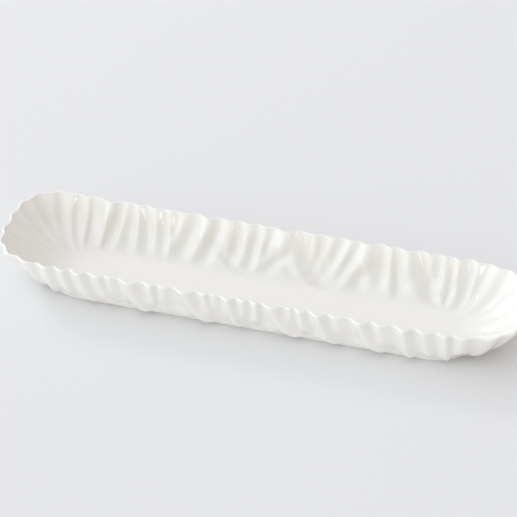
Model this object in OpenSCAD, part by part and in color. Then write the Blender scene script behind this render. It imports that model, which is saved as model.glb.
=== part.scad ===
// Long narrow china serving dish with a crinkled, flaring wall and a scalloped lip.
// Origin: centre of the plane that the foot stands on. X runs along the dish, Y across, Z up.
// All sizes in millimetres.

/* [Overall] */
// Length of the dish over the lip, before the folds are pushed in and out
dish_length = 400; // [330:1:500]
// Width of the dish over the lip, before the folds are pushed in and out
dish_width = 91; // [76:1:112]
// Height of the lip above the table
dish_height = 35.5; // [29:0.5:44]
// How square the two ends are, from a plain ellipse up to a blunt end
end_squareness = 3.2; // [2:0.1:5]

/* [Floor] */
// Thickness of the flat floor
floor_t = 3.2; // [2.4:0.1:4.5]
// Width of the flat floor, which is also the diameter of its round ends
well_width = 32; // [22:1:40]
// Length of the flat floor
well_length = 296; // [240:1:320]

/* [Foot] */
// Width of the foot ring over its outside
foot_width = 69; // [60:1:72]
// Width of the rim of clay that the dish stands on
foot_band = 4.5; // [3:0.1:7]
// Height of the foot ring, down to its unglazed edge
foot_height = 3; // [2:0.1:4]
// Height of the ground, unglazed edge of the foot
bare_edge = 0.4; // [0.2:0.1:0.8]

/* [Wall] */
// Thickness of the wall just under the lip
lip_t = 2.4; // [1.8:0.1:3.6]
// Bulge of the inside of the long walls: 1 is a straight slope, more is rounder
side_curve_in = 2.5; // [1.5:0.1:3]
// Bulge of the outside of the long walls
side_curve_out = 2; // [1.4:0.1:2.8]
// Bulge of the inside of the two flared ends
end_curve_in = 1.9; // [1.4:0.1:2.4]
// Bulge of the outside of the two flared ends
end_curve_out = 1.9; // [1.4:0.1:2.4]
// Share of the wall's height that belongs to the rounded turn from floor to wall
cavetto_share = 0.2; // [0.12:0.01:0.3]
// Share of the wall's height at which the lip begins
lip_share = 0.92; // [0.86:0.01:0.95]

/* [Folds] */
// Depth of the folds as a share of the listed depth
fold_depth = 1; // [0.3:0.05:1.2]
// Depth of the front folds at the lip, as a share of their depth below it
front_at_lip = 1.25; // [0.5:0.05:1.5]
// Depth of the back folds at the lip, as a share of their depth below it
back_at_lip = 0.55; // [0.3:0.05:1.5]
// Depth of the folds of the two ends at the lip, as a share of their depth below it
end_at_lip = 1.15; // [0.5:0.05:1.5]
// Width of a fold at the foot, as a share of its width at the lip
fold_spread = 1.45; // [1:0.05:1.8]
// Part of the slope, from the floor edge out, over which the folds rise from nothing
fold_fade = 0.48; // [0.3:0.02:0.8]
// Points round each half of the dish
steps = 150; // [90:2:160]

/* [Hidden] */

china = [0.95, 0.94, 0.92];
bare_china = [0.88, 0.85, 0.80];

// The round ends of floor and foot turn about two points on the long axis, this far from the middle.
turn_x = (well_length - well_width) / 2;
// Run of the lip from the start of an end to its tip, as the fold places count it.
end_run = 94;
side_run = turn_x + end_run;
// Run of one half side, from its middle to the tip, on which the fold places were laid out.
laid_run = 226;
// A fold's mean push, taken off so that the folds lie to both sides of the plain wall.
mean_push = 1.5;
floor_z = foot_height + floor_t;

// Folds in order along each long wall. Place 0 is the middle of the wall, plus is towards +X,
// and places past 132 run round the end to its tip. Each fold is
// [place at the lip, place at the foot, bow of its path towards +X half way down, depth,
//  reach towards -X, reach towards +X, share of the height where it starts, share where it ends].
// A fold of negative depth is pinched inwards.
front_folds = [
    [-218, -218, 0, 2.4, 8, 6, 0, 1], [-204, -206, 0, 2.6, 10, 6, 0, 1],
    [-190, -196, 0, 2.8, 10, 6, 0, 1], [-175, -182, 0, 3, 11, 7, 0, 1],
    [-159, -163, 0, 3, 11, 6, 0, 1], [-144, -138, 0, 3, 11, 7, 0.1, 1],
    [-128, -117, 0, 3.4, 11, 6, 0, 1], [-114, -103, 0, 2.8, 9, 6, 0, 1],
    [-105, -98, 0, 1.8, 5, 7, 0.4, 1], [-90, -76, -1, 4.2, 10, 11, 0, 1],
    [-73, -74, 1, 2.8, 7, 5, 0.3, 1], [-64, -66, 0, 2, 5, 8, 0.4, 1], [-66, -64, 0, 2, 8, 8, 0, 0.25],
    [-49, -49, 0, 2, 9, 9, 0, 0.25], [-47, -26, -1, 4.2, 10, 9, 0, 1],
    [-32, -25, 0, 2.2, 7, 4, 0.25, 1], [-25, -24, 0, 1.2, 4, 5, 0.5, 1], [-14, -6, 0, 3.6, 7, 6, 0, 1],
    [-3, -3, 0, 2, 6, 5, 0.4, 1], [7, 2, 2, 2.4, 6, 4, 0.3, 1], [19, 40, -1, 4, 10, 10, 0, 1],
    [18, 18, 0, 2, 8, 9, 0, 0.25], [32, 33, 0, 1.4, 5, 4, 0.5, 1], [40, 47, 0, 2.6, 5, 6, 0.25, 1],
    [54, 69, -1, 3.8, 9, 7, 0, 1], [55, 54, 0, 1.8, 7, 7, 0, 0.25], [66, 74, 0, 2.4, 6, 10, 0.45, 1],
    [85, 104, -1, 4.2, 10, 9, 0, 1], [86, 86, 0, 2, 9, 8, 0, 0.25], [99, 107, 0, 2.8, 7, 10, 0.3, 1],
    [117, 122, 0, 4, 8, 8, 0, 1], [132, 139, 0, 2.6, 7, 11, 0.1, 1], [151, 159, 0, 3, 8, 8, 0, 1],
    [165, 169, 0, 2.4, 7, 11, 0.3, 1], [184, 190, 0, 2.6, 8, 9, 0, 1], [200, 203, 0, 2.4, 7, 8, 0, 1],
    [214, 215, 0, 2.2, 7, 8, 0, 1]];
back_folds = [
    [-218, -218, 0, 2.4, 7, 6, 0, 1], [-205, -209, 0, 2.4, 7, 7, 0, 1],
    [-191, -202, 2, 2.4, 7, 8, 0, 1], [-176, -200, 2, 2.8, 7, 7, 0, 1], [-162, -186, 2, 3, 7, 7, 0, 1],
    [-149, -170, 4, 3.4, 7, 19, 0, 1], [-182, -184, 0, 4.5, 28, 34, 0.3, 1],
    [-131, -140, 0, -3.2, 7, 6, 0.4, 1], [-54, -62, 0, -3, 7, 8, 0.4, 1], [6, -4, 0, -4, 9, 9, 0.5, 1],
    [69, 66, 0, -2.4, 7, 7, 0.4, 1], [101, 106, 0, -2, 6, 6, 0.4, 1], [143, 146, 0, -2, 6, 6, 0.4, 1],
    [-122, -131, -1, 3.8, 8, 6, 0, 1], [-114, -115, 0, 4, 8, 6, 0, 1], [-103, -99, 1, 3.6, 7, 8, 0, 1],
    [-88, -86, 0, 3, 7, 5, 0, 1], [-78, -82, 0, 2, 5, 6, 0.45, 1], [-63, -76, -1, 4.2, 9, 10, 0, 1],
    [-45, -57, 0, 3.8, 8, 8, 0, 1], [-57, -22, 0, 2.4, 7, 8, 0, 0.3],
    [-29, -31, 0, 3.8, 7, 7, 0.15, 1], [-15, -20, 0, 3.8, 7, 6, 0, 1],
    [-3, -10, 0, 2.6, 6, 13, 0.25, 1], [17, -12, 0, 3.2, 8, 8, 0, 0.4], [-2, 22, 0, 2, 6, 7, 0, 0.2],
    [20, 36, 0, 3.6, 10, 9, 0, 1], [27, 27, 0, 1, 3, 3, 0.6, 1], [36, 33, 0, 3.6, 7, 8, 0.2, 1],
    [51, 38, -2, 4, 8, 7, 0, 1], [64, 43, 0, 3.2, 7, 8, 0, 1], [71, 64, 0, 4.2, 8, 9, 0, 0.4],
    [82, 82, 0, 4.4, 10, 6, 0.1, 1], [93, 99, 0, 3, 5, 9, 0, 1], [112, 128, 0, 4.4, 10, 6, 0, 1],
    [125, 124, 0, 3.6, 7, 5, 0.3, 1], [135, 134, 4, 2.6, 7, 9, 0, 1], [154, 165, 0, 3.6, 9, 8, 0, 1],
    [169, 173, 0, 2.8, 7, 8, 0.2, 1], [184, 195, 0, 2.8, 7, 7, 0, 1], [198, 204, 0, 2.4, 7, 7, 0, 1],
    [212, 214, 0, 2.2, 7, 8, 0, 1]];

function mix(a, b, t) = a + (b - a) * t;
function ease(t) = let (c = min(max(t, 0), 1)) c * c * (3 - 2 * c);
function total(list, i = 0) = i < len(list) ? list[i] + total(list, i + 1) : 0;

// Place of a fold's crest at height share h, on its bowed path from foot to lip.
function crest(f, h) = let (t = sqrt(h)) mix(f[1], f[0], t) + 4 * f[2] * t * (1 - t);

// One fold's push at a distance s from its crest: a hump with its own reach to each side.
function hump(f, s, h) =
    let (reach = (s < 0 ? f[4] : f[5]) * mix(fold_spread, 1, sqrt(h)))
    abs(s) < reach ? pow(cos(90 * s / reach), 2) : 0;

// A fold keeps its depth between the heights where it starts and ends, and fades over a short way.
function kept(h, from, to) =
    (from > 0 ? ease((h - from) / 0.4 + 0.5) : 1) * (to < 1 ? ease((to - h) / 0.4 + 0.5) : 1);

function push_of(folds, u, h) =
    total([for (f = folds) f[3] * hump(f, u - crest(f, h), h) * kept(h, f[6], f[7])]);

// Push of all folds at place u of the front (side -1) or back (side 1), at height share h.
// The other side's folds count too, where they reach round a tip.
function push(u, side, h) =
    let (v = u * laid_run / side_run,
         near = side < 0 ? front_folds : back_folds,
         far = side < 0 ? back_folds : front_folds,
         round_tip = v < 0 ? -2 * laid_run - v : 2 * laid_run - v)
    fold_depth * (push_of(near, v, h) + push_of(far, round_tip, h) - mean_push);

// The ray at place u: [start on the long axis, direction x, direction y, share of the turn].
function ray(u, side) =
    let (turned = max(abs(u) - turn_x, 0) / end_run, way = u < 0 ? -1 : 1)
    [way * min(abs(u), turn_x), way * sin(90 * turned), side * cos(90 * turned), turned];

function lip_reach(r) =
    let (a = dish_length / 2 - turn_x, b = dish_width / 2)
    pow(pow(abs(r[1]) / a, end_squareness) + pow(abs(r[2]) / b, end_squareness), -1 / end_squareness);

// A point of the plain profile: [reach along the ray, height], h being the share of the height.
function profile_in(r, h) =
    [mix(well_width / 2, lip_reach(r) - lip_t, pow(h, 1 / mix(side_curve_in, end_curve_in, r[3]))),
     mix(floor_z, dish_height - lip_t / 2, h)];
function profile_out(r, h) =
    [mix(foot_width / 2, lip_reach(r), pow(h, 1 / mix(side_curve_out, end_curve_out, r[3]))),
     mix(foot_height, dish_height - lip_t / 2, h)];

// Push at the lip as a share of the push below it.
function at_lip(side, turned, h) =
    1 + ease(2 * h - 1) * (mix(side < 0 ? front_at_lip : back_at_lip, end_at_lip, turned) - 1);

// Direction in which a fold pushes the wall between two points of its profile: square to it low
// down, level at the lip.
function push_way(a, b, h) = let (d = b - a, n = norm(d)) [d[1] / n, -d[0] / n * (1 - h)];

function at_ray(r, p) = [r[0] + r[1] * p[0], r[2] * p[0], p[1]];

function inside_point(u, side, h) =
    let (r = ray(u, side), p = profile_in(r, h),
         way = push_way(profile_in(r, max(h - 0.01, 0)), profile_in(r, min(h + 0.01, 1)), h),
         slope_share = (p[0] - well_width / 2) / (lip_reach(r) - lip_t - well_width / 2),
         strength = ease(slope_share / mix(fold_fade, 0.9, r[3])))
    at_ray(r, p + way * push(u, side, h) * strength * at_lip(side, r[3], h));

function outside_point(u, side, h) =
    let (r = ray(u, side), p = profile_out(r, h),
         way = push_way(profile_out(r, max(h - 0.01, 0)), profile_out(r, min(h + 0.01, 1)), h),
         strength = ease(h / 0.08))
    at_ray(r, p + way * push(u, side, h) * strength * at_lip(side, r[3], h));

// A point on the rounded top of the lip, turned by angle from its inside edge to its outside edge.
function lip_point(u, side, angle) =
    let (a = inside_point(u, side, 1), b = outside_point(u, side, 1), up = norm(b - a) / 2)
    mix(a, b, (1 - cos(angle)) / 2) + [0, 0, up * sin(angle)];

function plain_point(u, side, reach, z) = at_ray(ray(u, side), [reach, z]);

// Places round the whole dish, counter-clockwise from the left tip along the front and back again.
places = [for (i = [0 : steps - 1]) [mix(-side_run, side_run, i / steps), -1],
          for (i = [0 : steps - 1]) [mix(side_run, -side_run, i / steps), 1]];

// Closed ring-shaped skin through a list of loops, the last loop joined to the first again.
module ring_skin(loops) {
    n = len(loops[0]);
    m = len(loops);
    polyhedron(
        points = [for (loop = loops) for (p = loop) p],
        faces = [for (j = [0 : m - 1]) for (i = [0 : n - 1])
            let (k = (i + 1) % n, next = (j + 1) % m,
                 a = j * n + i, b = j * n + k, c = next * n + k, d = next * n + i)
            each [[a, b, c], [a, c, d]]],
        convexity = 10);
}

function inside_loop(h) = [for (q = places) inside_point(q[0], q[1], h)];
function outside_loop(h) = [for (q = places) outside_point(q[0], q[1], h)];
function plain_loop(reach, z) = [for (q = places) plain_point(q[0], q[1], reach, z)];

// Outline with parallel sides and round ends that turn about the two turn points.
module long_round(width) {
    for (x = [-turn_x, turn_x]) translate([x, 0]) circle(d = width, $fn = 96);
    square([2 * turn_x, width], center = true);
}

// Flat floor in the middle of the dish, on which the food lies
module well() {
    edge = plain_loop(well_width / 2, 0);
    color(china) translate([0, 0, foot_height])
        linear_extrude(floor_t) polygon([for (p = edge) [p[0], p[1]]]);
}

// Rounded turn from the floor up into the wall, where the folds run out
module cavetto() {
    color(china) ring_skin(concat(
        [plain_loop(well_width / 2, foot_height), plain_loop(foot_width / 2, foot_height)],
        [for (share = [0.2, 0.55, 1]) outside_loop(share * cavetto_share)],
        [for (share = [1, 0.4, 0.12]) inside_loop(share * cavetto_share)],
        [plain_loop(well_width / 2, floor_z)]));
}

// Crinkled wall
module wall() {
    heights = [for (t = [0, 0.3, 0.65, 1]) mix(cavetto_share, lip_share, t)];
    color(china) ring_skin(concat(
        [for (h = heights) outside_loop(h)],
        [for (i = [3 : -1 : 0]) inside_loop(heights[i])]));
}

// Rounded, scalloped edge of the wall
module lip() {
    color(china) ring_skin(concat(
        [outside_loop(lip_share)],
        [for (angle = [180, 135, 90, 45, 0]) [for (q = places) lip_point(q[0], q[1], angle)]],
        [inside_loop(lip_share)]));
}

module foot_band_shape() {
    difference() {
        long_round(foot_width);
        long_round(foot_width - 2 * foot_band);
    }
}

// Low ring under the dish that lifts it off the table
module foot_ring() {
    color(china) translate([0, 0, bare_edge]) linear_extrude(foot_height - bare_edge) foot_band_shape();
}

// Ground, unglazed edge on which the dish stands
module foot_edge() {
    color(bare_china) linear_extrude(bare_edge) foot_band_shape();
}

well();
cavetto();
wall();
lip();
foot_ring();
foot_edge();
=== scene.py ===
import math
import bpy
import numpy as np
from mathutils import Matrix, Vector


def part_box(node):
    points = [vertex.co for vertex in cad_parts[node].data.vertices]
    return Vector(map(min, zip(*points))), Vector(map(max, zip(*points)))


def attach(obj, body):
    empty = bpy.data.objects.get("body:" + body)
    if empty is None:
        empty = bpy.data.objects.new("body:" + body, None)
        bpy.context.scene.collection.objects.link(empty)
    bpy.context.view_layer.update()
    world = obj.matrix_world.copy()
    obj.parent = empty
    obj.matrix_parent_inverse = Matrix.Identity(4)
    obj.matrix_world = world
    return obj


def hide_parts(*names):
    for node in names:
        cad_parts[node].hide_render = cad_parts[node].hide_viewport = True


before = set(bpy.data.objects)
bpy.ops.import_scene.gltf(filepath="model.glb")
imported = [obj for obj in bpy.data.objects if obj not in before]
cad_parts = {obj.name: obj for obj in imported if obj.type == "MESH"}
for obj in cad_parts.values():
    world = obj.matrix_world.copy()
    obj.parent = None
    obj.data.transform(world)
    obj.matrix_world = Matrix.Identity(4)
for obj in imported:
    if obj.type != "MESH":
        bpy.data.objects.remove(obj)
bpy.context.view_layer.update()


# ---------------------------------------------------------------- china skin
# The dish is one casting of warm white china, glazed all over. Its skin follows one rule: a
# plain profile turned round a long floor, pushed in and out by the folds that the maker pressed
# into the soft wall one by one. Geometry Nodes work the rule out on a fine grid.

MM = 0.001

# Sizes in millimetres, as the dish was designed.
dish_length = 400.0
dish_width = 91.0
dish_height = 35.4
end_squareness = 3.2
lip_t = 2.4
side_curve_in, side_curve_out = 2.5, 2.0
end_curve_in, end_curve_out = 1.9, 1.9
end_run = 94.0
front_at_lip, back_at_lip, end_at_lip = 1.25, 0.55, 1.15
fold_spread = 1.45
mean_push = 1.5

# Shares of the way up over which the folds fade in from nothing: inside along the sides, inside at
# the ends, outside, and where a fold starts or ends part way up.
fold_fade, end_fold_fade, outside_fold_fade = 0.48, 0.9, 0.08
part_way_fade = 0.4

well_low, well_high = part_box("well")
foot_low, foot_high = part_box("foot_ring")
well_width = (well_high.y - well_low.y) / MM
turn_x = (well_high.x - well_low.x) / MM / 2 - well_width / 2
foot_width = (foot_high.y - foot_low.y) / MM
foot_height = foot_high.z / MM
floor_z = well_high.z / MM
bare_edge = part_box("foot_edge")[1].z / MM
side_run = turn_x + end_run

# Each fold: place at the lip, place at the foot, bow of its path towards +X half way down, depth,
# reach towards -X, reach towards +X, share of the height where it starts and where it ends.
# Places run from the middle of the wall.
FRONT_FOLDS = [
    (-218, -218, 0, 2.4, 8, 6, 0, 1), (-204, -206, 0, 2.6, 10, 6, 0, 1),
    (-190, -196, 0, 2.8, 10, 6, 0, 1), (-175, -182, 0, 3.0, 11, 7, 0, 1),
    (-159, -163, 0, 3.0, 11, 6, 0, 1), (-144, -138, 0, 3.0, 11, 7, 0.1, 1),
    (-128, -117, 0, 3.4, 11, 6, 0, 1), (-114, -103, 0, 2.8, 9, 6, 0, 1),
    (-105, -98, 0, 1.8, 5, 7, 0.4, 1), (-90, -76, -1, 4.2, 10, 11, 0, 1),
    (-73, -74, 1, 2.8, 7, 5, 0.3, 1), (-64, -66, 0, 2.0, 5, 8, 0.4, 1),
    (-66, -64, 0, 2.0, 8, 8, 0, 0.25), (-49, -49, 0, 2.0, 9, 9, 0, 0.25),
    (-47, -26, -1, 4.2, 10, 9, 0, 1), (-32, -25, 0, 2.2, 7, 4, 0.25, 1),
    (-25, -24, 0, 1.2, 4, 5, 0.5, 1), (-14, -6, 0, 3.6, 7, 6, 0, 1), (-3, -3, 0, 2.0, 6, 5, 0.4, 1),
    (7, 2, 2, 2.4, 6, 4, 0.3, 1), (19, 40, -1, 4.0, 10, 10, 0, 1), (18, 18, 0, 2.0, 8, 9, 0, 0.25),
    (32, 33, 0, 1.4, 5, 4, 0.5, 1), (40, 47, 0, 2.6, 5, 6, 0.25, 1), (54, 69, -1, 3.8, 9, 7, 0, 1),
    (55, 54, 0, 1.8, 7, 7, 0, 0.25), (66, 74, 0, 2.4, 6, 10, 0.45, 1), (85, 104, -1, 4.2, 10, 9, 0, 1),
    (86, 86, 0, 2.0, 9, 8, 0, 0.25), (99, 107, 0, 2.8, 7, 10, 0.3, 1), (117, 122, 0, 4.0, 8, 8, 0, 1),
    (132, 139, 0, 2.6, 7, 11, 0.1, 1), (151, 159, 0, 3.0, 8, 8, 0, 1),
    (165, 169, 0, 2.4, 7, 11, 0.3, 1), (184, 190, 0, 2.6, 8, 9, 0, 1), (200, 203, 0, 2.4, 7, 8, 0, 1),
    (214, 215, 0, 2.2, 7, 8, 0, 1)]
BACK_FOLDS = [
    (-218, -218, 0, 2.4, 7, 6, 0, 1), (-205, -209, 0, 2.4, 7, 7, 0, 1),
    (-191, -202, 2, 2.4, 7, 8, 0, 1), (-176, -200, 2, 2.8, 7, 7, 0, 1),
    (-162, -186, 2, 3.0, 7, 7, 0, 1), (-149, -170, 4, 3.4, 7, 19, 0, 1),
    (-182, -184, 0, 4.5, 28, 34, 0.3, 1), (-131, -140, 0, -3.2, 7, 6, 0.4, 1),
    (-54, -62, 0, -3.0, 7, 8, 0.4, 1), (6, -4, 0, -4.0, 9, 9, 0.5, 1), (69, 66, 0, -2.4, 7, 7, 0.4, 1),
    (101, 106, 0, -2.0, 6, 6, 0.4, 1), (143, 146, 0, -2.0, 6, 6, 0.4, 1),
    (-122, -131, -1, 3.8, 8, 6, 0, 1), (-114, -115, 0, 4.0, 8, 6, 0, 1),
    (-103, -99, 1, 3.6, 7, 8, 0, 1), (-88, -86, 0, 3.0, 7, 5, 0, 1), (-78, -82, 0, 2.0, 5, 6, 0.45, 1),
    (-63, -76, -1, 4.2, 9, 10, 0, 1), (-45, -57, 0, 3.8, 8, 8, 0, 1), (-57, -22, 0, 2.4, 7, 8, 0, 0.3),
    (-29, -31, 0, 3.8, 7, 7, 0.15, 1), (-15, -20, 0, 3.8, 7, 6, 0, 1),
    (-3, -10, 0, 2.6, 6, 13, 0.25, 1), (17, -12, 0, 3.2, 8, 8, 0, 0.4), (-2, 22, 0, 2.0, 6, 7, 0, 0.2),
    (20, 36, 0, 3.6, 10, 9, 0, 1), (27, 27, 0, 1.0, 3, 3, 0.6, 1), (36, 33, 0, 3.6, 7, 8, 0.2, 1),
    (51, 38, -2, 4.0, 8, 7, 0, 1), (64, 43, 0, 3.2, 7, 8, 0, 1), (71, 64, 0, 4.2, 8, 9, 0, 0.4),
    (82, 82, 0, 4.4, 10, 6, 0.1, 1), (93, 99, 0, 3.0, 5, 9, 0, 1), (112, 128, 0, 4.4, 10, 6, 0, 1),
    (125, 124, 0, 3.6, 7, 5, 0.3, 1), (135, 134, 4, 2.6, 7, 9, 0, 1), (154, 165, 0, 3.6, 9, 8, 0, 1),
    (169, 173, 0, 2.8, 7, 8, 0.2, 1), (184, 195, 0, 2.8, 7, 7, 0, 1), (198, 204, 0, 2.4, 7, 7, 0, 1),
    (212, 214, 0, 2.2, 7, 8, 0, 1)]
FOLD_COLUMNS = ("at_lip", "at_foot", "bow", "depth", "reach_left", "reach_right", "starts", "ends",
                "side")

# Grid rows over one cross-section: floor, inside, rounded lip, outside, base, underside. Those of
# the outside crowd towards the lip by a power.
COLUMNS = 1300
CROWDING = 1.6
ROW_COUNTS = {"floor": 4, "inside": 56, "lip": 12, "outside": 60, "base": 4, "under": 4}
row_starts = dict(zip(ROW_COUNTS, np.cumsum([0] + list(ROW_COUNTS.values())[:-1]).tolist()))
ROWS = sum(ROW_COUNTS.values()) + 1


def add(tree, kind, inputs=(), **settings):
    """Adds one node: its settings, then a value or a link for each input given."""
    node = tree.nodes.new(kind)
    for name, value in settings.items():
        setattr(node, name, value)
    for key, value in dict(inputs).items():
        value = getattr(value, "socket", value)
        if isinstance(value, bpy.types.NodeSocket):
            tree.links.new(value, node.inputs[key])
        else:
            node.inputs[key].default_value = value
    return node


class Amount:
    """A number worked out by a tree; arithmetic on it adds Math nodes."""

    def __init__(self, tree, socket):
        self.tree, self.socket = tree, socket

    def math(self, operation, *others, swap=False):
        terms = [self, *others]
        if swap:
            terms.reverse()
        node = add(self.tree, "ShaderNodeMath", enumerate(terms), operation=operation)
        return Amount(self.tree, node.outputs[0])

    def __add__(self, other):
        return self.math("ADD", other)

    def __sub__(self, other):
        return self.math("SUBTRACT", other)

    def __rsub__(self, other):
        return self.math("SUBTRACT", other, swap=True)

    def __mul__(self, other):
        return self.math("MULTIPLY", other)

    def __truediv__(self, other):
        return self.math("DIVIDE", other)

    def __pow__(self, other):
        return self.math("POWER", other)

    __radd__ = __add__
    __rmul__ = __mul__

    def limited(self, low=0.0, high=1.0):
        return self.math("MAXIMUM", low).math("MINIMUM", high)

    def eased(self):
        """Smooth step of this number from 0 to 1."""
        t = self.limited()
        return t * t * (3 - 2 * t)

    def towards(self, end, share):
        return self + (end - self) * share


def fold_table():
    """The folds as loose points, one attribute for each column of the two lists."""
    rows = [fold + (side,) for side, folds in ((-1, FRONT_FOLDS), (1, BACK_FOLDS)) for fold in folds]
    mesh = bpy.data.meshes.new("fold_table")
    mesh.from_pydata([(0, 0, 0)] * len(rows), [], [])
    for name, values in zip(FOLD_COLUMNS, zip(*rows)):
        mesh.attributes.new(name, "FLOAT", "POINT").data.foreach_set("value", values)
    table = bpy.data.objects.new("fold_table", mesh)
    bpy.context.scene.collection.objects.link(table)
    return table, len(rows)


def skin_tree(fold_count):
    """Node tree that makes the whole skin of the dish as one grid, unwelded, row by row."""
    tree = bpy.data.node_groups.new("china_skin", "GeometryNodeTree")
    sizes = {
        "Length": dish_length, "Width": dish_width, "Height": dish_height - lip_t / 2,
        "End Squareness": end_squareness, "Turn Point": turn_x, "End Run": end_run,
        "Well Width": well_width, "Floor Height": floor_z, "Foot Width": foot_width,
        "Foot Height": foot_height, "Lip Thickness": lip_t,
        "Side Curve In": side_curve_in, "Side Curve Out": side_curve_out,
        "End Curve In": end_curve_in, "End Curve Out": end_curve_out,
        "Front At Lip": front_at_lip, "Back At Lip": back_at_lip, "End At Lip": end_at_lip,
        "Fold Spread": fold_spread, "Fold Fade": fold_fade, "Mean Push": mean_push}
    tree.interface.new_socket("Geometry", in_out="OUTPUT", socket_type="NodeSocketGeometry")
    for name in sizes:
        tree.interface.new_socket(name, in_out="INPUT", socket_type="NodeSocketFloat")
    tree.interface.new_socket("Folds", in_out="INPUT", socket_type="NodeSocketObject")
    tree.interface.new_socket("China", in_out="INPUT", socket_type="NodeSocketMaterial")
    given = add(tree, "NodeGroupInput")
    size = {name: Amount(tree, given.outputs[name]) for name in sizes}

    def stored(geometry, name, value):
        node = add(tree, "GeometryNodeStoreNamedAttribute",
                   {"Geometry": geometry, "Name": name, "Value": value}, data_type="FLOAT")
        return node.outputs["Geometry"]

    def named(name):
        node = add(tree, "GeometryNodeInputNamedAttribute", {"Name": name}, data_type="FLOAT")
        return Amount(tree, node.outputs["Attribute"])

    # Column and row of a grid point; the nudge keeps a whole number from rounding down.
    nudge = 1e-4
    grid = add(tree, "GeometryNodeMeshGrid", {"Vertices X": COLUMNS + 1, "Vertices Y": ROWS})
    index = Amount(tree, add(tree, "GeometryNodeInputIndex").outputs[0])
    column = (index / ROWS + nudge).math("FLOOR")
    row = index - column * ROWS
    share = {part: ((row - row_starts[part]) / ROW_COUNTS[part]).limited() for part in ROW_COUNTS}

    # Place round the dish: along the front from the left tip, then back along the rear.
    around = column / COLUMNS * 4
    rear = around.math("GREATER_THAN", 2)
    side = rear * 2 - 1
    place = (around - 1 + rear * (4 - 2 * around)) * (size["Turn Point"] + size["End Run"])
    way = place.math("GREATER_THAN", 0) * 2 - 1
    turned = (place.math("ABSOLUTE") - size["Turn Point"]).math("MAXIMUM", 0) / size["End Run"]
    across = side * (turned * (math.pi / 2)).math("COSINE")
    along = way * (turned * (math.pi / 2)).math("SINE")
    start = way * place.math("ABSOLUTE").math("MINIMUM", size["Turn Point"])

    # Reach of the lip on that ray, and the heights of inside and outside.
    n = size["End Squareness"]
    end_reach = size["Length"] / 2 - size["Turn Point"]
    side_reach = size["Width"] / 2
    root = n.math("DIVIDE", -1, swap=True)
    lip_out = ((along.math("ABSOLUTE") / end_reach) ** n
               + (across.math("ABSOLUTE") / side_reach) ** n) ** root
    lip_in = lip_out - size["Lip Thickness"]
    curve_in = size["Side Curve In"].towards(size["End Curve In"], turned)
    curve_out = size["Side Curve Out"].towards(size["End Curve Out"], turned)
    slope_in = share["inside"]
    slope_out = 1 - share["outside"] ** CROWDING
    rise_in = size["Height"] - size["Floor Height"]
    rise_out = size["Height"] - size["Foot Height"]
    height_in = slope_in ** curve_in
    height_out = slope_out ** curve_out
    run_in = lip_in - size["Well Width"] / 2
    run_out = lip_out - size["Foot Width"] / 2
    height = height_in.math("MINIMUM", height_out)

    # Push of the folds, summed one fold at a time. Where the place is on the other side of the
    # dish, it is counted on round the tip. A fold that starts at the foot or ends at the lip keeps
    # its full depth there.
    geometry = stored(grid.outputs["Mesh"], "place", place)
    geometry = stored(geometry, "side", side)
    geometry = stored(geometry, "height", height)
    geometry = stored(geometry, "push", 0.0)
    folds = add(tree, "GeometryNodeObjectInfo", {"Object": given.outputs["Folds"]})
    each = add(tree, "GeometryNodeRepeatInput", {"Iterations": fold_count})
    summed = add(tree, "GeometryNodeRepeatOutput")
    each.pair_with_output(summed)
    tree.links.new(geometry, each.inputs["Geometry"])

    def of_fold(name):
        node = add(tree, "GeometryNodeSampleIndex",
                   {"Geometry": folds.outputs["Geometry"], "Value": named(name),
                    "Index": each.outputs["Iteration"]}, data_type="FLOAT", domain="POINT")
        return Amount(tree, node.outputs["Value"])

    fold = {name: of_fold(name) for name in FOLD_COLUMNS}
    here, level = named("place"), named("height")
    other_side = (named("side") * fold["side"]).math("LESS_THAN", 0)
    round_tip = (here.math("GREATER_THAN", 0) * 4 - 2) * side_run - here
    here = here.towards(round_tip, other_side)
    way_up = level.math("SQRT")
    crest = fold["at_foot"].towards(fold["at_lip"], way_up) + fold["bow"] * 4 * way_up * (1 - way_up)
    gap = here - crest
    to_right = gap.math("GREATER_THAN", 0)
    reach = fold["reach_left"].towards(fold["reach_right"], to_right)
    reach = reach * size["Fold Spread"].towards(1, way_up)
    hump = ((gap / reach).limited(-1, 1) * (math.pi / 2)).math("COSINE") ** 2
    nearly_foot, nearly_lip = 0.01, 0.99
    from_foot = fold["starts"].math("LESS_THAN", nearly_foot)
    to_lip = fold["ends"].math("GREATER_THAN", nearly_lip)
    begun = ((level - fold["starts"]) / part_way_fade + 0.5 + from_foot).eased()
    going = ((fold["ends"] - level) / part_way_fade + 0.5 + to_lip).eased()
    tree.links.new(stored(each.outputs["Geometry"], "push",
                          named("push") + fold["depth"] * hump * begun * going),
                   summed.inputs["Geometry"])

    # Points on the inside and on the outside, pushed square to the profile low down and level at
    # the lip, where the folds of the front, the back and the ends differ in strength.
    push = named("push") - size["Mean Push"]
    near_lip = (2 * height - 1).eased()
    side_at_lip = size["Front At Lip"].towards(size["Back At Lip"], rear)
    at_lip = 1 + near_lip * (side_at_lip.towards(size["End At Lip"], turned) - 1)

    def wall_point(floor_reach, run, slope, base, rise, curve, strength):
        steep = rise / run * curve * slope ** (curve - 1)
        slant = (steep * steep + 1).math("SQRT")
        pushed = push * strength * at_lip
        reach_here = floor_reach + run * slope + pushed * steep / slant
        level_here = base + rise * slope ** curve - pushed / slant * (1 - height)
        return reach_here, level_here

    reach_in, z_in = wall_point(size["Well Width"] / 2 * share["floor"], run_in, slope_in,
                                size["Floor Height"], rise_in, curve_in,
                                (slope_in / size["Fold Fade"].towards(end_fold_fade, turned)).eased())
    reach_out, z_out = wall_point(size["Foot Width"] / 2, run_out, slope_out,
                                  size["Foot Height"], rise_out, curve_out,
                                  (height_out / outside_fold_fade).eased())

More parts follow.
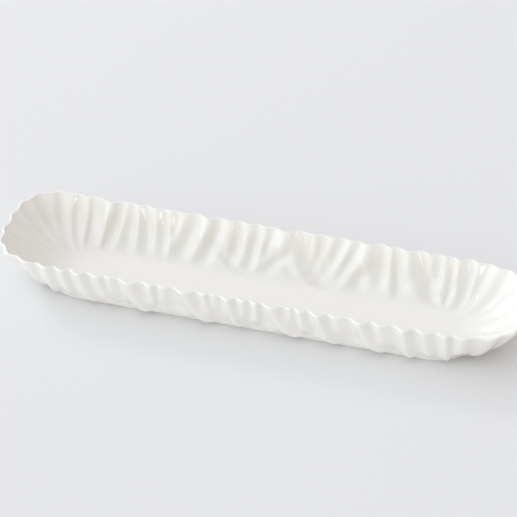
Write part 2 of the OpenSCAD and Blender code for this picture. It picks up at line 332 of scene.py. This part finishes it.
    # The rounded lip joins them, and the base runs in to the middle underneath.
    turn = share["lip"] * math.pi
    to_outside = 0.5 - turn.math("COSINE") * 0.5
    gap_x, gap_z = reach_out - reach_in, z_out - z_in
    crown = (gap_x * gap_x + gap_z * gap_z).math("SQRT") * 0.5 * turn.math("SINE")
    reach = reach_in.towards(reach_out, to_outside)
    level = z_in.towards(z_out, to_outside) + crown
    reach = reach.towards(size["Well Width"] / 2, share["base"]) * (1 - share["under"])
    point = add(tree, "ShaderNodeCombineXYZ", {
        "X": (start + along * reach) * MM, "Y": across * reach * MM, "Z": level * MM})
    placed = add(tree, "GeometryNodeSetPosition", {
        "Geometry": summed.outputs["Geometry"], "Position": point.outputs[0]})
    real = add(tree, "GeometryNodeRealizeInstances", {"Geometry": placed.outputs["Geometry"]})
    glazed = add(tree, "GeometryNodeSetMaterial", {
        "Geometry": real.outputs["Geometry"], "Material": given.outputs["China"]})
    add(tree, "NodeGroupOutput", {"Geometry": glazed.outputs["Geometry"]})
    return tree, sizes


def linear(hex_colour):
    """sRGB hex to the linear colour that shaders take."""
    srgb = [int(hex_colour[i:i + 2], 16) / 255 for i in (1, 3, 5)]
    return [c / 12.92 if c <= 0.04045 else ((c + 0.055) / 1.055) ** 2.4 for c in srgb] + [1.0]


def glazed_china():
    """Clear glossy glaze fired over warm white china: a hard, sharp gloss over an even body."""
    material = bpy.data.materials.new("glazed_china")
    material.use_nodes = True
    tree = material.node_tree
    shader = tree.nodes["Principled BSDF"]
    shader.inputs["IOR"].default_value = 1.5
    place = add(tree, "ShaderNodeTexCoord").outputs["Object"]
    # Cloudy unevenness of the glaze, about 20 mm across.
    cloud = add(tree, "ShaderNodeTexNoise", {"Vector": place, "Scale": 1 / (20 * MM), "Detail": 3.0})
    tint = add(tree, "ShaderNodeMix", {"Factor": cloud.outputs["Fac"], "A": linear("#f4f2ec"),
                                       "B": linear("#f1efe9")}, data_type="RGBA")
    tree.links.new(tint.outputs["Result"], shader.inputs["Base Color"])
    gloss = add(tree, "ShaderNodeMapRange", {"Value": cloud.outputs["Fac"],
                                             "To Min": 0.05, "To Max": 0.08})
    tree.links.new(gloss.outputs["Result"], shader.inputs["Roughness"])
    # Orange-peel ripple of the fired glaze, 4 mm from crest to crest.
    ripple = add(tree, "ShaderNodeTexNoise", {"Vector": place, "Scale": 1 / (4 * MM), "Detail": 1.0})
    bump = add(tree, "ShaderNodeBump", {"Height": ripple.outputs["Fac"], "Strength": 0.3,
                                        "Distance": 0.05 * MM})
    tree.links.new(bump.outputs["Normal"], shader.inputs["Normal"])
    return material


china = glazed_china()
fold_list, fold_count = fold_table()
tree, sizes = skin_tree(fold_count)
carrier = bpy.data.objects.new("skin", bpy.data.meshes.new("skin"))
bpy.context.scene.collection.objects.link(carrier)
modifier = carrier.modifiers.new("skin", "NODES")
modifier.node_group = tree
sockets = {item.name: item.identifier for item in tree.interface.items_tree if item.in_out == "INPUT"}
for name, value in {**sizes, "Folds": fold_list, "China": china}.items():
    modifier[sockets[name]] = value
bpy.context.view_layer.update()
evaluated = carrier.evaluated_get(bpy.context.evaluated_depsgraph_get())
skin = bpy.data.meshes.new_from_object(evaluated)
points = np.zeros(len(skin.vertices) * 3)
skin.vertices.foreach_get("co", points)
points = points.reshape(COLUMNS + 1, ROWS, 3)[:-1]
bpy.data.objects.remove(carrier)
bpy.data.objects.remove(fold_list)

# Normals of the whole skin, so that the regions of the casting meet without a seam in the gloss.
# The floor and the base are flat.
along_ring = np.roll(points, -1, 0) - np.roll(points, 1, 0)
down_wall = np.gradient(points, axis=1)
normals = np.cross(down_wall, along_ring)
length = np.linalg.norm(normals, axis=2, keepdims=True)
tiny = 1e-12
normals = normals / np.maximum(length, tiny)
normals[:, :row_starts["inside"] + 1] = (0, 0, 1)
normals[:, row_starts["base"]:] = (0, 0, -1)


def casting_region(name, rows, closed, node):
    """One region of the casting as a closed solid, from rows of the skin in order."""
    weld = 1e-7
    co = points[:, rows].reshape(-1, 3)
    no = normals[:, rows].reshape(-1, 3)
    _, first, back = np.unique(np.round(co / weld).astype(np.int64), axis=0,
                               return_index=True, return_inverse=True)
    back = back.reshape(COLUMNS, len(rows))
    faces = []
    for j in range(len(rows) if closed else len(rows) - 1):
        k = (j + 1) % len(rows)
        ring, nxt = back[:, j], back[:, k]
        for a, b, c, d in zip(ring, nxt, np.roll(nxt, -1), np.roll(ring, -1)):
            face = []
            for v in (a, b, c, d):
                if v not in face:
                    face.append(v)
            if len(face) > 2:
                faces.append(face)
    mesh = bpy.data.meshes.new(name)
    mesh.from_pydata(co[first].tolist(), [], faces)
    mesh.validate()
    mesh.shade_smooth()
    mesh.normals_split_custom_set_from_vertices(no[first].tolist())
    mesh.materials.append(china)
    piece = bpy.data.objects.new(name, mesh)
    bpy.context.scene.collection.objects.link(piece)
    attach(piece, "root")
    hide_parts(node)


def rows_between(first, last):
    return list(range(first, last + 1))


def row_inside(height_share):
    rows_up = ROW_COUNTS["inside"] * height_share ** (1 / side_curve_in)
    return row_starts["inside"] + round(rows_up)


def row_outside(height_share):
    rows_down = ROW_COUNTS["outside"] * (1 - height_share ** (1 / side_curve_out)) ** (1 / CROWDING)
    return row_starts["outside"] + round(rows_down)


# ---------------------------------------------------------------- china well
# Flat floor on which the food lies, cast in one with the rest of the dish, with the flat base
# under it. Glazed above and below.

floor_edge = row_starts["inside"]
base_edge = row_starts["under"]
well_rows = rows_between(0, floor_edge) + rows_between(base_edge, ROWS - 1)
casting_region("china_well", well_rows, False, "well")


# ---------------------------------------------------------------- china cavetto
# Rounded turn of the casting from the floor up into the wall, where the folds run out. It is the
# thickest part of the china and carries the foot.

cavetto_share = 0.2
cavetto_in = row_inside(cavetto_share)
cavetto_out = row_outside(cavetto_share)
cavetto_rows = rows_between(floor_edge, cavetto_in) + rows_between(cavetto_out, base_edge)
casting_region("china_cavetto", cavetto_rows, True, "cavetto")


# ---------------------------------------------------------------- china wall
# Crinkled wall of the casting, steep along the sides and leaning out at the ends. It is a thin
# shell, so each fold shows on both faces.

lip_share = 0.92
lip_in = row_inside(lip_share)
lip_out = row_outside(lip_share)
wall_rows = rows_between(cavetto_in, lip_in) + rows_between(lip_out, cavetto_out)
casting_region("china_wall", wall_rows, True, "wall")


# ---------------------------------------------------------------- china lip
# Rounded edge of the casting, scalloped by the folds that reach it. The glaze runs over it without
# a break.

casting_region("china_lip", rows_between(lip_in, lip_out), True, "lip")


# ---------------------------------------------------------------- china foot ring
# Low ring of the same china, cast with the dish and set in under the folds, to lift it off the
# table. Glazed down to its rounded lower corners.

FOOT_BAND = 4.5
FOOT_ROUND = 0.5
CREASE = math.radians(40)


def long_ring(name, section, material, node):
    """Closed ring round the two turn points, through a section of (reach, height) points in mm."""
    end_steps = 64
    turns = [math.pi * i / end_steps for i in range(end_steps + 1)]
    path = [(turn_x, math.sin(a - math.pi / 2), math.cos(a - math.pi / 2)) for a in turns]
    path += [(-turn_x, -math.sin(a - math.pi / 2), -math.cos(a - math.pi / 2)) for a in turns]
    corners = [((x + out * reach) * MM, across * reach * MM, z * MM)
               for x, across, out in path for reach, z in section]
    across_count = len(section)
    round_count = len(path)
    faces = []
    for i in range(round_count):
        here = i * across_count
        ahead = (i + 1) % round_count * across_count
        for j in range(across_count):
            k = (j + 1) % across_count
            faces.append((here + j, ahead + j, ahead + k, here + k))
    mesh = bpy.data.meshes.new(name)
    mesh.from_pydata(corners, [], faces)
    mesh.validate()
    mesh.shade_smooth()
    mesh.set_sharp_from_angle(angle=CREASE)
    mesh.materials.append(material)
    piece = bpy.data.objects.new(name, mesh)
    bpy.context.scene.collection.objects.link(piece)
    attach(piece, "root")
    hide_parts(node)


foot_out = foot_width / 2
foot_in = foot_out - FOOT_BAND
round_angles = [math.radians(a) for a in (0, 22.5, 45, 67.5, 90)]
outer_round = [(foot_out - FOOT_ROUND + FOOT_ROUND * math.cos(a),
                bare_edge + FOOT_ROUND - FOOT_ROUND * math.sin(a)) for a in round_angles]
inner_round = [(foot_in + FOOT_ROUND - FOOT_ROUND * math.sin(a),
                bare_edge + FOOT_ROUND - FOOT_ROUND * math.cos(a)) for a in round_angles]
ring_section = [(foot_out, foot_height)] + outer_round + inner_round + [(foot_in, foot_height)]
long_ring("china_foot_ring", ring_section, china, "foot_ring")


# ---------------------------------------------------------------- bare foot edge
# Edge of the foot that stood on the kiln shelf. It is left without glaze, so that the dish does
# not stick to the shelf, and is ground smooth after firing.

EDGE_BEVEL = 0.2


def bare_china():
    """Unglazed china, ground flat: matt, slightly darker and warmer, with a fine tooth."""
    material = bpy.data.materials.new("bare_china")
    material.use_nodes = True
    tree = material.node_tree
    shader = tree.nodes["Principled BSDF"]
    shader.inputs["IOR"].default_value = 1.5
    shader.inputs["Roughness"].default_value = 0.75
    place = add(tree, "ShaderNodeTexCoord").outputs["Object"]
    # Grinding tooth, drawn at 0.6 mm so that it shows.
    tooth = add(tree, "ShaderNodeTexNoise", {"Vector": place, "Scale": 1 / (0.6 * MM), "Detail": 4.0})
    tint = add(tree, "ShaderNodeMix", {"Factor": tooth.outputs["Fac"], "A": linear("#e0d9cc"),
                                       "B": linear("#d3cabb")}, data_type="RGBA")
    tree.links.new(tint.outputs["Result"], shader.inputs["Base Color"])
    bump = add(tree, "ShaderNodeBump", {"Height": tooth.outputs["Fac"], "Strength": 0.5,
                                        "Distance": 0.05 * MM})
    tree.links.new(bump.outputs["Normal"], shader.inputs["Normal"])
    return material


edge_out = foot_out - FOOT_ROUND
edge_in = foot_in + FOOT_ROUND
edge_section = [(edge_out, bare_edge), (edge_out - EDGE_BEVEL, 0),
                (edge_in + EDGE_BEVEL, 0), (edge_in, bare_edge)]
long_ring("bare_foot_edge", edge_section, bare_china(), "foot_edge")


# ---------------------------------------------------------------- studio
# Plain pale table in a pale room that is brighter from the left, with a low glow at the front
# left. Two small soft windows give the glaze its highlights.

scene = bpy.context.scene
reach = 6
table_mesh = bpy.data.meshes.new("table")
table_corners = [(-reach, -reach, 0), (reach, -reach, 0), (reach, reach, 0), (-reach, reach, 0)]
table_mesh.from_pydata(table_corners, [], [(0, 1, 2, 3)])
table_material = bpy.data.materials.new("pale_table")
table_material.use_nodes = True
table_shader = table_material.node_tree.nodes["Principled BSDF"]
table_shader.inputs["Base Color"].default_value = linear("#e8e8e8")
table_shader.inputs["Roughness"].default_value = 0.8
table_shader.inputs["Specular IOR Level"].default_value = 0.1
table_mesh.materials.append(table_material)
table_top = bpy.data.objects.new("table", table_mesh)
scene.collection.objects.link(table_top)


def soft_light(name, place, aim, size, power, colour):
    light = bpy.data.lights.new(name, "AREA")
    light.shape = "RECTANGLE"
    light.size, light.size_y = size
    light.energy = power
    light.color = linear(colour)[:3]
    lamp = bpy.data.objects.new(name, light)
    lamp.location = place
    lamp.rotation_euler = (Vector(aim) - Vector(place)).to_track_quat("-Z", "Y").to_euler()
    scene.collection.objects.link(lamp)


world = bpy.data.worlds.new("room")
world.use_nodes = True
room = world.node_tree
direction = add(room, "ShaderNodeTexCoord").outputs["Generated"]


def brightening(towards, start):
    """Rises softly from 0 to 1 as the view turns towards a direction."""
    facing = add(room, "ShaderNodeVectorMath", {0: direction, 1: towards}, operation="DOT_PRODUCT")
    share = add(room, "ShaderNodeMapRange", {"Value": facing.outputs["Value"], "From Min": start,
                                             "From Max": 1.0}, interpolation_type="SMOOTHSTEP")
    return Amount(room, share.outputs["Result"])


sky = brightening((-0.81, -0.22, 0.55), -0.4)
glow = brightening((-0.86, -0.49, 0.14), 0.45)
tone = add(room, "ShaderNodeMix", {"Factor": sky, "A": linear("#fef7f2"), "B": linear("#f4f9ff")},
           data_type="RGBA")
room_light, sky_light, glow_light = 0.66, 0.37, 0.88
strength = room_light + sky_light * sky + glow_light * glow
background = room.nodes["Background"]
room.links.new(tone.outputs["Result"], background.inputs["Color"])
room.links.new(strength.socket, background.inputs["Strength"])
scene.world = world
soft_light("back window", (-1.9, 1.05, 1.15), (0, 0, 0), (0.7, 0.5), 9, "#fbfcff")
soft_light("front window", (0.7, -1.9, 0.2), (0, 0, 0.03), (0.35, 0.3), 1.6, "#fbfcff")
scene.view_settings.view_transform = "Standard"

# Camera 1.8 m away, 15 degrees round from the front and 40 degrees up, with a long lens. It aims
# a little to the left of the middle of the dish and above it.
azimuth, elevation, distance = math.radians(15), math.radians(39.85), 1.8
focal = 4.644
aim_left, aim_up = 0.00735, 0.0812
sight = Vector((-math.sin(azimuth) * math.cos(elevation), math.cos(azimuth) * math.cos(elevation),
                -math.sin(elevation)))
rightward = Vector((math.cos(azimuth), math.sin(azimuth), 0))
upward = rightward.cross(sight)
aim = sight * focal - rightward * aim_left + upward * aim_up
lens = bpy.data.cameras.new("camera")
lens.sensor_width = 36
lens.lens = lens.sensor_width * focal
camera = bpy.data.objects.new("camera", lens)
camera.location = -sight * distance
camera.rotation_euler = aim.to_track_quat("-Z", "Y").to_euler()
scene.collection.objects.link(camera)
scene.camera = camera
